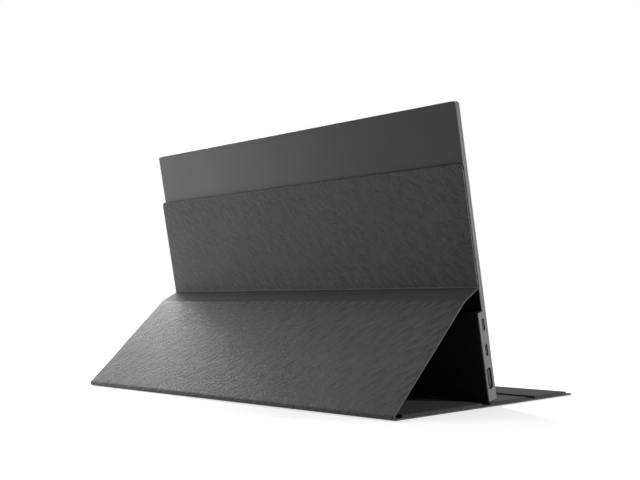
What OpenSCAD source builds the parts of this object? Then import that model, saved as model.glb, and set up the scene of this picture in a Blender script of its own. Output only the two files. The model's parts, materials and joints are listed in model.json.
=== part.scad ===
// Portable monitor in its wrap-round cover. The thin monitor leans back on a stand that the
// cover folds into: a panel bonded to the monitor's back, a bridge strip, a strut that reaches
// the table behind it, and three padded boards that lie flat under and in front of it.
// X runs across the screen, the screen faces -Y, and Z = 0 is the table.

/* [Monitor housing] */
// Width of the monitor
monitor_w = 357.6; // [330:0.2:400]
// Height of the monitor, measured along its own face
monitor_h = 220; // [205:1:240]
// Thickness of the thin upper part
slab_t = 5.2; // [5:0.1:6.5]
// Thickness over the electronics bump along the bottom
bump_t = 9.5; // [9.3:0.1:12]
// Height of the electronics bump
bump_h = 66.4; // [65:0.2:76]
// Radius of the two upper corners, seen from the front
corner_r = 3.6; // [3:0.2:8]
// Radius of the two lower corners
low_corner_r = 1; // [0.8:0.1:3.6]
// Rounding of the back edges
edge_r = 1; // [0.6:0.1:1.3]
// Rounding of the front rim
rim_r = 0.4; // [0.2:0.1:0.5]
// Thickness of the housing walls
wall_t = 1.2; // [1:0.1:1.4]
// Radius of the snap beads that hold the front frame
catch_r = 0.35; // [0.3:0.05:0.4]
// Length of a snap bead
catch_l = 8; // [6:0.5:10]
// Thickness of the ribs inside the bump, and how far they stand out
rib = [1, 1.6];
// Distance of the outer ribs from the driver board's end and from the key board
rib_inset = [6, 8];
// Lean back from upright, in degrees
lean = 11.5; // [8:0.5:15]

/* [Screen] */
// Width of the black frame left and right of the picture
side_bezel = 6.1; // [5.5:0.1:9]
// Width of the black frame above the picture
top_bezel = 6.2; // [5.8:0.1:9]
// Height of the frame below the picture
chin_h = 19.5; // [18:0.1:26]
// Thickness of the front frame
bezel_t = 0.7; // [0.5:0.1:0.9]
// Depth and thickness of the front frame's inner skirt
skirt = [1.9, 0.8];
// Thickness of the tape that holds the glass to the frame
tape_t = 0.15; // [0.1:0.05:0.2]
// Thickness of the liquid crystal glass
glass_t = 1; // [0.8:0.1:1.1]
// Thickness of each optical film
film_t = 0.1; // [0.05:0.05:0.15]
// Thickness of the light guide plate
guide_t = 0.7; // [0.5:0.1:0.8]
// Thickness of the backlight's metal tray
tray_t = 0.3; // [0.2:0.1:0.3]
// How far the glass and backlight reach past the picture at the sides and the top
module_border = 3; // [2.5:0.1:3.2]
// How far they reach past the picture at the bottom
module_foot = 4.5; // [4:0.1:5]
// Height of the light bar under the light guide
light_bar_h = 1.6; // [1.4:0.1:2]

/* [Electronics] */
// Gap between the backlight's tray and the circuit boards
board_gap = 0.15; // [0.1:0.05:0.2]
// Thickness of the circuit boards
board_t = 0.8; // [0.6:0.1:0.8]
// Gap between the main board and the housing's side wall
board_margin = 0.5; // [0.3:0.1:1]
// Length of the main board
main_board_w = 110; // [90:1:130]
// Height of the main board's lower and upper edges
main_board_span = [4.5, 61];
// Length and height of the panel's driver board
driver_board = [160, 8];
// Gap between the main board and the driver board
driver_gap = 12; // [10:0.5:16]
// Width of the key board
key_board_w = 12; // [11:0.5:14]
// Height of the key board's lower and upper edges
key_board_span = [26, 58];
// Radius of a board screw's thread
screw_r = 0.7; // [0.6:0.05:0.8]
// Length of a board screw
screw_l = 3; // [2.5:0.1:3.2]
// Distance of the screws from the main board's left and right ends
screw_inset = [30, 6];
// Distance of the outer support posts from the main board's left and right ends
post_inset = [24, 6];
// Height of the screws above the main board's lower edge
screw_rise = 4; // [3.5:0.1:6]
// Depth of the support posts below the main board's upper edge
post_drop = 2.4; // [2:0.1:4]
// Radius of the screw bosses
boss_r = 1.8; // [1.7:0.1:2.2]
// Length, thickness and height of the panel cable's connector
connector = [5, 1.4, 9];
// Distance of the connector from the main board's right end
connector_inset = 8; // [7:0.5:10]
// Thickness of the flat cables
cable_t = 0.2; // [0.15:0.05:0.3]
// Width of the cable to the panel, and of the cable to the key board
cable_widths = [6, 4];
// How far a cable laps onto the board it runs to
cable_lap = [8, 4];
// Height of the key cable above the key board's lower edge
key_cable_rise = 3; // [2:0.5:6]
// Clearance round pieces that are fitted into an opening
fit_gap = 0.1; // [0.08:0.01:0.15]

/* [Sockets] */
// Width and thickness of a USB-C socket
usb_size = [8.94, 3.16];
// Length of a USB-C socket
usb_l = 7.4; // [6.5:0.1:9]
// Height of the two USB-C sockets' centres
usb_heights = [38.1, 56.9];
// Width and thickness of the HDMI socket
hdmi_size = [14.9, 5.6];
// Length of the HDMI socket
hdmi_l = 11.5; // [10:0.5:14]
// Height of the HDMI socket's centre
hdmi_height = 17; // [16:0.2:22]
// Sheet thickness of the socket shells
shell_t = 0.3; // [0.25:0.05:0.35]
// How far the sockets sit back from the housing's side face
socket_recess = 0.6; // [0.4:0.1:0.8]
// Clearance between a socket and its opening
socket_gap = 0.35; // [0.25:0.05:0.4]

/* [Keys] */
// Length of the power button
power_l = 9; // [7:0.5:11]
// Height of the power button's centre
power_height = 50; // [49:0.5:52]
// Length of the menu rocker
rocker_l = 15; // [12:0.5:16]
// Height of the menu rocker's centre
rocker_height = 34; // [33:0.5:35]
// Thickness of both keys
key_t = 2.2; // [1.8:0.1:2.4]
// How far the keys stand out of the side face
key_proud = 0.3; // [0.2:0.05:0.4]
// Travel of the power button
key_travel = 0.35; // [0.25:0.05:0.4]
// Clearance round a key in its opening
key_gap = 0.15; // [0.12:0.01:0.2]
// Thickness of the power button's inner flange
flange_t = 0.8; // [0.6:0.1:1]
// Radius of the rocker's pivot pin
pivot_r = 0.5; // [0.4:0.05:0.6]

/* [Cover] */
// How far the cover reaches past the monitor at each side
cover_overhang = 1; // [0.6:0.1:2]
// Thickness of the cover's skin, lining included
skin_t = 1.4; // [1.2:0.1:1.8]
// Thickness of the microfibre lining
lining_t = 0.4; // [0.3:0.05:0.5]
// Thickness of the pads on the skin's inner side
pad_t = 1.9; // [1.6:0.1:2.4]
// How far the pads stop short of the skin's side edges
pad_inset = 0.5; // [0.4:0.1:3]
// Corner radius of the pads
pad_r = 1; // [1:0.5:4]
// Radius of the back panel's top corners
panel_r = 4; // [3:0.5:8]
// Height up the monitor's back at which the cover folds away from it
fold_height = 84.3; // [80:0.1:90]
// Height of the panel bonded to the monitor's back
panel_h = 90.6; // [80:0.1:110]
// Thickness of the back panel's board
panel_board_t = 1.3; // [1:0.1:1.8]
// Thickness of the glue sheet between that board and the monitor
glue_t = 0.2; // [0.1:0.05:0.3]
// Length of the bridge strip between the back panel and the strut
bridge_l = 18.4; // [14:0.1:24]
// Slope of the bridge strip below level, in degrees
bridge_slope = 28.4; // [22:0.2:34]
// Length of the strut
strut_l = 107.8; // [100:0.1:125]
// Outer radius of the fold where the strut meets the base
fold_r = 2.3; // [2.1:0.1:3]
// Length of soft skin beside that fold, on the strut and on the base
fold_tail = 5; // [4:0.5:6]
// Gap from that fold's centre to the rear pad
rear_margin = 6.7; // [6.2:0.1:9]
// Width of the groove between the rear and the middle pad
rear_groove = 9.2; // [7:0.1:12]
// Length of the middle pad, front to back
middle_pad_l = 51.1; // [46:0.1:60]
// Width of the groove between the middle and the front pad
front_groove = 11.6; // [11:0.1:14]
// Length of the front pad, front to back
front_pad_l = 49; // [40:0.1:54]
// Skin left bare in front of the front pad
front_margin = 8; // [4:0.1:9]
// How far the monitor's foot stands in front of the middle pad's rear edge
foot_setback = 0.9; // [0.5:0.1:3]
// Gap under the monitor's foot
foot_gap = 0.1; // [0.05:0.05:0.2]
// Gap between skins at a fold
crease_gap = 0.1; // [0.1:0.05:0.2]
// Thickness of the strut's stiffening plate
stiffener_t = 0.6; // [0.4:0.1:0.6]
// How far the stiffening plate stops short of the strut's edges
stiffener_inset = 5; // [4:0.5:8]

/* [Magnets] */
// Width, depth and thickness of the magnets in the base
pad_magnet = [24, 8, 1];
// Width, height and thickness of the magnets in the monitor's foot
foot_magnet = [24, 3, 3];
// Distance of the magnets from the middle
magnet_places = [50, 120];

/* [Hidden] */
$fn = 48;

// Colours
graphite = "#5c5d5f";
black = "#141416";
steel = "#b9bcc0";
circuit = "#1f4a35";
gold = "#c8a64a";
leather = "#48484a";
suede = "#303032";
greyboard = "#8a8378";

// Screen: edges of the picture and of the glass, and depths of the layers behind the front face
picture_w = monitor_w - 2 * side_bezel;
picture_top = monitor_h - top_bezel;
module_w = picture_w + 2 * module_border;
module_low = chin_h - module_foot;
module_top = picture_top + module_border;
glass_n = bezel_t + tape_t;
films_n = glass_n + glass_t;
guide_n = films_n + 2 * film_t;
tray_n = guide_n + guide_t + film_t;
tray_back = tray_n + tray_t;
board_n = tray_back + board_gap;
parts_n = board_n + board_t;
rear_inside = slab_t - wall_t;
bump_inside = bump_t - wall_t;
side_x = monitor_w / 2;
inside_x = side_x - wall_t;

// Main board and its parts
main_board_x = -inside_x + board_margin;
board_end = main_board_x + main_board_w;
screw_height = main_board_span[0] + screw_rise;
screw_places = [main_board_x + screw_inset[0], board_end - screw_inset[1]];
post_height = main_board_span[1] - post_drop;
post_places = [main_board_x + post_inset[0], board_end - main_board_w / 2, board_end - post_inset[1]];
connector_x = board_end - connector_inset - connector[0];
mouth_x = -side_x + socket_recess;
hdmi_x = -inside_x + 0.05;
usb_n = parts_n + usb_size[1] / 2;
hdmi_n = tray_back + 0.1 + hdmi_size[1] / 2;
driver_board_x = board_end + driver_gap;
key_cable_height = key_board_span[0] + key_cable_rise;
catch_n = bezel_t + skirt[0] - catch_r - 0.2;

// Keys
key_n = parts_n + key_t / 2 + 0.1;
rocker_pivot_x = inside_x - 1.6;
ear_t = 0.8;
ear_reach = 1.2;
key_board_x = rocker_pivot_x - ear_reach - 0.2;
switch_x = key_board_x - 1.4;
stem_end_x = switch_x + key_travel + 0.1;
rocker_stem_x = switch_x + 0.45;

// Side view of the stand: the foot's front corner, the folds, and the strut's slope
up = [sin(lean), cos(lean)];
back = [cos(lean), -sin(lean)];
base_top = skin_t + pad_t;
foot_lift = edge_r * (cos(lean) + sin(lean) - 1);
foot_z = base_top + foot_gap - foot_lift + bump_t * sin(lean);
panel_n = slab_t + glue_t + panel_board_t + skin_t;
fold_from_foot = fold_height * up + panel_n * back;
kink_from_foot = fold_from_foot + bridge_l * [cos(bridge_slope), -sin(bridge_slope)];
drop = foot_z + kink_from_foot[1] - fold_r;
strut_slope = asin(drop / norm([strut_l, fold_r])) - atan(fold_r / strut_l);
strut_dir = [cos(strut_slope), -sin(strut_slope)];
strut_out = [sin(strut_slope), cos(strut_slope)];
roll_from_foot = kink_from_foot + strut_l * strut_dir - fold_r * strut_out;
middle_rear = bump_t * cos(lean) + foot_setback;
front_edge = middle_rear - middle_pad_l - front_groove - front_pad_l - front_margin;
foot_y = -(roll_from_foot[0] + fold_r + front_edge) / 2;
foot = [foot_y, foot_z];
fold_at = foot + fold_from_foot;
kink_at = foot + kink_from_foot;
roll_y = foot_y + roll_from_foot[0];
bend = strut_slope - bridge_slope;

// Cover: its width, and the front and rear edge of each pad
cover_w = monitor_w + 2 * cover_overhang;
rear_pad = [foot_y + middle_rear + rear_groove, roll_y - rear_margin];
middle_pad = [foot_y + middle_rear - middle_pad_l, foot_y + middle_rear];
front_pad = [middle_pad[0] - front_groove - front_pad_l, middle_pad[0] - front_groove];
pad_w = cover_w - 2 * pad_inset;
magnet_y = foot_y + bump_t * cos(lean) / 2;
closing_magnet_y = front_pad[0] + pad_magnet[1] / 2 + 4;

echo(foot_y = foot_y, foot_z = foot_z, fold_at = fold_at, kink_at = kink_at, roll_y = roll_y);
echo(strut_slope = strut_slope, rear_pad = rear_pad, middle_pad = middle_pad);
echo(front_pad = front_pad, half_depth = roll_y + fold_r);

// ---------- shapes ----------

// Rounded rectangle, centred left to right and standing on the X axis; the lower corners
// may have a smaller radius
module rounded(w, h, r, low_r) {
    low = is_undef(low_r) ? r : low_r;
    translate([-w / 2 + r, 0]) square([w - 2 * r, h]);
    translate([-w / 2 + low, 0]) square([w - 2 * low, h - r]);
    translate([-w / 2, low]) square([w, h - low - r]);
    for (x = [-1, 1]) {
        translate([x * (w / 2 - low), low]) circle(low);
        translate([x * (w / 2 - r), h - r]) circle(r);
    }
}

// Slot with round ends, centred: length along Y, thickness along X
module slot(l, t) {
    square([t, l - t], center = true);
    for (y = [-1, 1])
        translate([0, y * (l - t) / 2]) circle(t / 2);
}

// Rectangle with rounded front and back corners, for the edges of the housing
module edge_profile(w, t) {
    translate([-w / 2, rim_r]) square([w, t - rim_r - edge_r]);
    translate([-w / 2 + rim_r, 0]) square([w - 2 * rim_r, t - edge_r]);
    translate([-w / 2 + edge_r, rim_r]) square([w - 2 * edge_r, t - rim_r]);
    for (x = [-1, 1]) {
        translate([x * (w / 2 - rim_r), rim_r]) circle(rim_r);
        translate([x * (w / 2 - edge_r), t - edge_r]) circle(edge_r);
    }
}

// Places children in the monitor's own frame: X across, Y depth from the screen, Z height
module on_monitor() {
    translate([0, foot[0], foot[1]]) rotate([-lean, 0, 0]) children();
}

// Layer of the monitor: a flat outline in X and height, between two depths
module layer(n, t) {
    translate([0, n + t, 0]) rotate([90, 0, 0]) linear_extrude(t) children();
}

// A side outline, depth and height, extruded along X
module across(x0, x1) {
    translate([x0, 0, 0]) rotate([90, 0, 90]) linear_extrude(x1 - x0) children();
}

// Places children on the bridge: Y down its length, Z out of its outer face
module on_bridge() {
    translate([0, fold_at[0], fold_at[1]]) rotate([-bridge_slope, 0, 0]) children();
}

// Places children on the strut in the same way
module on_strut() {
    translate([0, kink_at[0], kink_at[1]]) rotate([-strut_slope, 0, 0]) children();
}

// ---------- monitor ----------

module housing_slab(h, t) {
    intersection() {
        layer(0, t) rounded(monitor_w, monitor_h, corner_r, low_corner_r);
        linear_extrude(h) edge_profile(monitor_w, t);
        across(-side_x, side_x)
            translate([0, h / 2]) mirror([1, -1]) edge_profile(h, t);
    }
}

module housing_hollow() {
    inner_r = corner_r - wall_t;
    translate([0, 0, wall_t]) {
        layer(-1, rear_inside + 1)
            rounded(monitor_w - 2 * wall_t, monitor_h - 2 * wall_t, inner_r);
        layer(0, bump_inside)
            rounded(monitor_w - 2 * wall_t, bump_h - 2 * wall_t, inner_r);
    }
}

// Openings for the three sockets, through the left wall as the screen is seen from behind
module socket_openings() {
    across(-side_x - 1, -inside_x + 0.01) {
        for (h = usb_heights)
            translate([usb_n, h])
                slot(usb_size[0] + 2 * socket_gap, usb_size[1] + 2 * socket_gap);
        translate([hdmi_n, hdmi_height]) hdmi_opening();
    }
    // Pocket that thins the back wall over the HDMI socket
    across(-inside_x - 0.01, hdmi_x + hdmi_l + socket_gap)
        translate([hdmi_n - 1, hdmi_height - hdmi_size[0] / 2 - 0.2])
            square([1 + hdmi_size[1] / 2 + 0.05, hdmi_size[0] + 0.4]);
}

module hdmi_opening() {
    opening = [hdmi_size[1] + socket_gap, hdmi_size[0] + 2 * socket_gap];
    round_r = 2.2;
    translate([0, -opening[1] / 2]) rounded(opening[0], opening[1], round_r);
}

module key_openings() {
    across(inside_x - 0.01, side_x + 1) {
        translate([key_n, power_height]) slot(power_l + 2 * key_gap, key_t + 2 * key_gap);
        translate([key_n, rocker_height]) slot(rocker_l + 2 * key_gap, key_t + 2 * key_gap);
    }
}

// Two ears that hold the rocker's pivot pin
module rocker_ears() {
    ear_h = 3.6;
    for (n = [key_n - key_t / 2 - key_gap - ear_t, key_n + key_t / 2 + key_gap])
        difference() {
            translate([rocker_pivot_x - ear_reach, n, rocker_height - ear_h / 2])
                cube([inside_x - rocker_pivot_x + ear_reach + 0.1, ear_t, ear_h]);
            translate([rocker_pivot_x, n - 1, rocker_height])
                rotate([-90, 0, 0]) cylinder(r = pivot_r + 0.05, h = ear_t + 2);
        }
}

module bosses() {
    for (x = screw_places)
        translate([x, 0, screw_height]) rotate([-90, 0, 0]) difference() {
            translate([0, 0, parts_n]) cylinder(r = boss_r, h = bump_inside - parts_n + 0.2);
            translate([0, 0, parts_n - 1]) cylinder(r = screw_r, h = screw_l + 1.2);
        }
    for (x = post_places)
        translate([x, parts_n, post_height])
            rotate([-90, 0, 0]) cylinder(r = boss_r - 0.4, h = bump_inside - parts_n + 0.2);
}

// Upright ribs that stiffen the bump's back wall between the two boards
module ribs() {
    first = driver_board_x + rib_inset[0];
    last = inside_x - key_board_w - rib_inset[1];
    low = foot_magnet[1] + wall_t + 2;
    gaps = 8;
    for (i = [0:gaps])
        translate([first + i * (last - first) / gaps, bump_inside - rib[1], low])
            cube([rib[0], rib[1] + 0.2, bump_h - wall_t - low - 0.2]);
}

module rear_housing() {
    color(graphite) on_monitor() {
        difference() {
            union() {
                housing_slab(monitor_h, slab_t);
                housing_slab(bump_h, bump_t);
            }
            housing_hollow();
            socket_openings();
            key_openings();
            rim_grooves();
        }
        bosses();
        ribs();
        rocker_ears();
    }
}

// Snap beads round the front frame; with a gap, the grooves they click into
module catches(r, gap) {
    columns = 6;
    rows = 4;
    rim = wall_t + fit_gap;
    for (i = [1:columns], z = [rim, monitor_h - rim])
        translate([-side_x + i * monitor_w / (columns + 1) - catch_l / 2 - gap, catch_n, z])
            rotate([0, 90, 0]) cylinder(r = r, h = catch_l + 2 * gap);
    for (i = [1:rows], x = [-1, 1])
        translate([x * (side_x - rim), catch_n, bump_h + i * (monitor_h - bump_h) / (rows + 1)])
            translate([0, 0, -catch_l / 2 - gap]) cylinder(r = r, h = catch_l + 2 * gap);
}

module rim_grooves() {
    catches(catch_r + fit_gap, fit_gap);
}

module front_bezel() {
    rim = wall_t + fit_gap;
    w = monitor_w - 2 * rim;
    h = monitor_h - 2 * rim;
    r = corner_r - rim;
    color(black) on_monitor() difference() {
        union() {
            layer(0, bezel_t) translate([0, rim]) rounded(w, h, r);
            layer(bezel_t - 0.01, skirt[0]) translate([0, rim]) rounded(w, h, r);
            catches(catch_r, 0);
        }
        layer(bezel_t, skirt[0] + 1)
            translate([0, rim + skirt[1]]) rounded(w - 2 * skirt[1], h - 2 * skirt[1], r - skirt[1]);
        layer(-1, bezel_t + 2)
            translate([-picture_w / 2, chin_h]) square([picture_w, picture_top - chin_h]);
    }
}

// Outline of the glass and the backlight
module module_outline(inset = 0) {
    translate([-module_w / 2 + inset, module_low + inset])
        square([module_w - 2 * inset, module_top - module_low - 2 * inset]);
}

module bezel_tape() {
    lip = 0.8;
    color("#202022") on_monitor() layer(bezel_t, tape_t) difference() {
        module_outline(0.3);
        translate([-picture_w / 2 - lip, chin_h - lip])
            square([picture_w + 2 * lip, picture_top - chin_h + 2 * lip]);
    }
}

module lcd_glass() {
    color("#0c0e12") on_monitor() layer(glass_n, glass_t) module_outline();
}

// A sheet inside the tray, above the light bar
module backlight_sheet(n, t, low = 0) {
    gap = tray_t + fit_gap;
    on_monitor() layer(n, t) translate([-module_w / 2 + gap, module_low + gap + low])
        square([module_w - 2 * gap, module_top - module_low - 2 * gap - low]);
}

module prism_film() {
    color("#cfd6dc", 0.8) backlight_sheet(films_n, film_t);
}

module diffuser_film() {
    color("#e8eaec") backlight_sheet(films_n + film_t, film_t);
}

module light_guide() {
    color("#d4e4ec", 0.6) backlight_sheet(guide_n, guide_t, light_bar_h + fit_gap);
}

module reflector_film() {
    color("#f4f4f2") backlight_sheet(guide_n + guide_t, film_t);
}

module light_bar() {
    lamps = 48;
    strip_h = 0.6;
    gap = tray_t + fit_gap;
    lamp_w = 3;
    pitch = (module_w - 2 * gap - 2) / lamps;
    color("#f0e6b4") on_monitor() {
        translate([-module_w / 2 + gap, guide_n, module_low + gap])
            cube([module_w - 2 * gap, guide_t, strip_h]);
        for (i = [0:lamps - 1])
            translate([-module_w / 2 + gap + 1 + i * pitch, guide_n, module_low + gap + strip_h])
                cube([lamp_w, guide_t, light_bar_h - strip_h]);
    }
}

module backlight_tray() {
    color(steel) on_monitor() {
        difference() {
            layer(films_n, tray_back - films_n) module_outline();
            layer(films_n - 1, tray_n - films_n + 1) module_outline(tray_t);
        }
    }
}

module panel_driver_board() {
    color(circuit) on_monitor()
        translate([driver_board_x, board_n, module_low + 1])
            cube([driver_board[0], board_t, driver_board[1]]);
}

module main_board() {
    color(circuit) on_monitor() difference() {
        translate([main_board_x, board_n, main_board_span[0]])
            cube([main_board_w, board_t, main_board_span[1] - main_board_span[0]]);
        // Notch for the sunk HDMI socket
        translate([main_board_x - 1, board_n - 1, hdmi_height - hdmi_size[0] / 2 - fit_gap])
            cube([hdmi_x + hdmi_l - main_board_x + 1 + fit_gap, board_t + 2, hdmi_size[0] + 2 * fit_gap]);
        for (x = screw_places)
            translate([x, board_n, screw_height]) rotate([-90, 0, 0]) {
                translate([0, 0, -1]) cylinder(r = screw_r + 0.15, h = board_t + 2);
                translate([0, 0, -0.01])
                    cylinder(r1 = 2 * screw_r + 0.16, r2 = screw_r + 0.15, h = screw_r + 0.02);
            }
    }
}

// Chips, coils and cable connectors on the main board: [x from its left end, height, w, h, t]
chips = [
    [40, 26, 14, 14, 1.2], [62, 30, 9, 9, 1], [62, 14, 6, 6, 0.9], [24, 44, 5, 5, 2.4],
    [34, 46, 4, 4, 2.4], [80, 40, 7, 5, 1], [82, 24, 5, 7, 0.9], [48, 46, 8, 6, 1.6]
];

module board_components() {
    color("#26282c") on_monitor() {
        for (c = chips)
            translate([main_board_x + c[0], parts_n, c[1]]) cube([c[2], c[4], c[3]]);
        translate([connector_x, parts_n, module_low + 1]) cube(connector);
    }
}

module shell_2d(size, t) {
    difference() {
        slot(size[0], size[1]);
        slot(size[0] - 2 * t, size[1] - 2 * t);
    }
}

module usb_shell(height) {
    color(steel) on_monitor() across(mouth_x, mouth_x + usb_l)
        translate([usb_n, height]) shell_2d(usb_size, shell_t);
}

module usb_insert(height) {
    tongue = [0.7, 6.7];
    back_l = 2.6;
    inner = [usb_size[0] - 2 * shell_t, usb_size[1] - 2 * shell_t];
    color(black) on_monitor() {
        across(mouth_x + usb_l - back_l, mouth_x + usb_l - 0.2)
            translate([usb_n, height]) slot(inner[0], inner[1]);
        across(mouth_x + 0.7, mouth_x + usb_l - back_l + 0.1)
            translate([usb_n, height]) square(tongue, center = true);
    }
}

module usb_c_upper_shell() usb_shell(usb_heights[1]);
module usb_c_upper_insert() usb_insert(usb_heights[1]);
module usb_c_lower_shell() usb_shell(usb_heights[0]);
module usb_c_lower_insert() usb_insert(usb_heights[0]);

// HDMI outline: depth along X, width along Y, with the two front corners cut off
module hdmi_outline(t, w) {
    cut = 0.32 * t;
    polygon([
        [t / 2, -w / 2], [t / 2, w / 2], [-t / 2 + cut, w / 2],
        [-t / 2, w / 2 - cut], [-t / 2, -w / 2 + cut], [-t / 2 + cut, -w / 2]
    ]);
}

module hdmi_inner() {
    hdmi_outline(hdmi_size[1] - 2 * shell_t, hdmi_size[0] - 2 * shell_t);
}

module hdmi_shell() {
    color(steel) on_monitor() across(hdmi_x, hdmi_x + hdmi_l)
        translate([hdmi_n, hdmi_height]) difference() {
            hdmi_outline(hdmi_size[1], hdmi_size[0]);
            hdmi_inner();
        }
}

module hdmi_insert() {
    tongue = [1.1, 12.4];
    back_l = 3;
    color(black) on_monitor() {
        across(hdmi_x + hdmi_l - back_l, hdmi_x + hdmi_l - 0.2)
            translate([hdmi_n, hdmi_height]) hdmi_inner();
        across(hdmi_x + 1.2, hdmi_x + hdmi_l - back_l + 0.1)
            translate([hdmi_n, hdmi_height]) square(tongue, center = true);
    }
}

module panel_cable() {
    x0 = connector_x + connector[0];
    color(gold) on_monitor()
        translate([x0, parts_n, module_low + 2])
            cube([driver_board_x + cable_lap[0] - x0, cable_t, cable_widths[0]]);
}

module key_cable() {
    x0 = board_end - cable_lap[1];
    x1 = key_board_x - key_board_w + cable_lap[1];
    color("#d8d4c6") on_monitor()
        translate([x0, parts_n, key_cable_height]) cube([x1 - x0, cable_t, cable_widths[1]]);
}

module key_board() {
    color(circuit) on_monitor()
        translate([key_board_x - key_board_w, board_n, key_board_span[0]])
            cube([key_board_w, board_t, key_board_span[1] - key_board_span[0]]);
}

// Three side-push switches: one behind the power button, one behind each end of the rocker
module key_switches() {
    body = [3.4, 2, 4.4];
    color("#3a3c40") on_monitor()
        for (z = [power_height, rocker_height - rocker_l / 3, rocker_height + rocker_l / 3])
            translate([switch_x, parts_n, z]) {
                translate([-body[0], 0, -body[2] / 2]) cube(body);
                translate([-0.1, 0.5, -0.7]) cube([0.1, 1, 1.4]);
            }
}

module board_screws() {
    color(steel) on_monitor()
        for (x = screw_places)
            translate([x, board_n, screw_height]) rotate([-90, 0, 0]) {
                cylinder(r1 = 2 * screw_r, r2 = screw_r, h = screw_r);
                cylinder(r = screw_r, h = screw_l);
            }
}

module foot_magnets() {
    color(steel) on_monitor()
        for (x = magnet_places, side = [-1, 1])
            translate([side * x - foot_magnet[0] / 2, bump_inside - foot_magnet[2], wall_t])
                cube([foot_magnet[0], foot_magnet[2], foot_magnet[1]]);
}

module power_button() {
    flange = 0.7;
    color(black) on_monitor() translate([0, key_n, power_height]) {
        across(inside_x - fit_gap - 0.01, side_x + key_proud) slot(power_l, key_t);
        across(inside_x - fit_gap - flange_t, inside_x - fit_gap)
            slot(power_l + 2 * flange, key_t + 2 * flange);
        across(stem_end_x, inside_x - fit_gap - flange_t + 0.01) square([1.2, 2], center = true);
    }
}

module menu_rocker() {
    foot_w = 1.6;
    pin_l = key_t + 2 * key_gap + 2 * ear_t;
    color(black) on_monitor() translate([0, key_n, rocker_height]) {
        across(rocker_pivot_x - 0.9, side_x + key_proud) slot(rocker_l, key_t);
        for (z = [-1, 1])
            across(rocker_stem_x, rocker_pivot_x - 0.8)
                translate([0, z * rocker_l / 3]) square([1.2, foot_w], center = true);
        translate([rocker_pivot_x, -pin_l / 2, 0])
            rotate([-90, 0, 0]) cylinder(r = pivot_r, h = pin_l);
    }
}

// ---------- back panel ----------

module panel_outline(inset) {
    h = panel_h - inset - crease_gap;
    w = cover_w - 2 * inset;
    r = panel_r - inset / 2;
    translate([0, fold_height + crease_gap]) {
        rounded(w, h, r);
        translate([-w / 2, 0]) square([w, h / 2]);
    }
}

module panel_glue() {
    low = 6;
    inset = 6;
    color("#77736a") on_monitor() layer(slab_t, glue_t)
        translate([-cover_w / 2 + inset, fold_height + low])
            square([cover_w - 2 * inset, panel_h - low - inset]);
}

module back_panel_board() {
    low = 3;
    color(greyboard) on_monitor() layer(slab_t + glue_t, panel_board_t) difference() {
        panel_outline(pad_inset + 0.6);
        translate([-cover_w / 2, fold_height - 1]) square([cover_w, low + 1]);
    }
}

module back_panel_skin() {
    color(leather) on_monitor() layer(panel_n - skin_t, skin_t) panel_outline(0);
}

// ---------- bridge and strut ----------

// Strip of skin between two depths, mitred at the end that meets the other fold
module mitred_strip(l, from, to, start_mitre, end_mitre) {
    function end(d, angle) = crease_gap - d * tan(angle);
    across(-cover_w / 2, cover_w / 2) polygon([
        [end(from, start_mitre), from],
        [l - end(from, end_mitre), from],
        [l - end(to, end_mitre), to],
        [end(to, start_mitre), to]
    ]);
}

module bridge_skin() {
    color(leather) on_bridge() mitred_strip(bridge_l, 0, lining_t - skin_t, 0, bend / 2);
}

module bridge_lining() {
    color(suede) on_bridge() mitred_strip(bridge_l, lining_t - skin_t, -skin_t, 0, bend / 2);
}

// The strut's skin and lining end where the fold strip takes over
module strut_strip(from, to) {
    intersection() {
        mitred_strip(strut_l, from, to, bend / 2, 0);
        across(-cover_w / 2, cover_w / 2)
            translate([-skin_t, -2 * skin_t]) square([strut_l - fold_tail + skin_t, 3 * skin_t]);
    }
}

module stiffener_outline(gap) {
    w = cover_w - 2 * stiffener_inset + 2 * gap;
    l = strut_l - fold_tail - 2 * stiffener_inset + 2 * gap;
    translate([0, stiffener_inset - gap]) rounded(w, l, pad_r + gap);
}

module strut_skin() {
    color(leather) on_strut() difference() {
        strut_strip(0, lining_t - skin_t);
        translate([0, 0, lining_t - skin_t - 1]) linear_extrude(stiffener_t + 1) stiffener_outline(fit_gap);
    }
}

module strut_stiffener() {
    color(greyboard) on_strut()
        translate([0, 0, lining_t - skin_t]) linear_extrude(stiffener_t) stiffener_outline(0);
}

module strut_lining() {
    color(suede) on_strut() strut_strip(lining_t - skin_t, -skin_t);
}

// Skin rolled round the fold between the strut and the base, with a soft tail on each side
module rear_fold_strip() {
    far = 3 * fold_r;
    seam = 0.02;
    color(leather) translate([0, roll_y, fold_r]) across(-cover_w / 2, cover_w / 2) {
        intersection() {
            difference() {
                circle(fold_r);
                circle(fold_r - skin_t);
            }
            polygon([[0, 0], [0, -far], [far, -far], [far, 0], far * strut_out]);
        }
        translate([-fold_tail, -fold_r]) square([fold_tail + seam, skin_t]);
        rotate(-strut_slope)
            translate([-fold_tail, fold_r - skin_t]) square([fold_tail + seam, skin_t]);
    }
}

// ---------- base ----------

module base_strip(y0, y1) {
    color(leather) translate([-cover_w / 2, y0, 0]) cube([cover_w, y1 - y0, skin_t]);
}

// Soft skin along the bottom of a groove
module groove_strip(y0, y1) {
    seam = 0.02;
    base_strip(y0 + seam, y1 - seam);
}

module pad_outline(span, inset, r) {
    translate([0, span[0] + inset])
        rounded(pad_w - 2 * inset, span[1] - span[0] - 2 * inset, r);
}

module magnet_outline(y, gap) {
    for (x = magnet_places, side = [-1, 1])
        translate([side * x, y])
            square([pad_magnet[0] + 2 * gap, pad_magnet[1] + 2 * gap], center = true);
}

// Board of a pad; the magnets sit in windows cut through it
module pad_board(span) {
    color(greyboard) translate([0, 0, skin_t]) linear_extrude(pad_t - lining_t) difference() {
        pad_outline(span, lining_t, pad_r - lining_t);
        children();
    }
}

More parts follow.
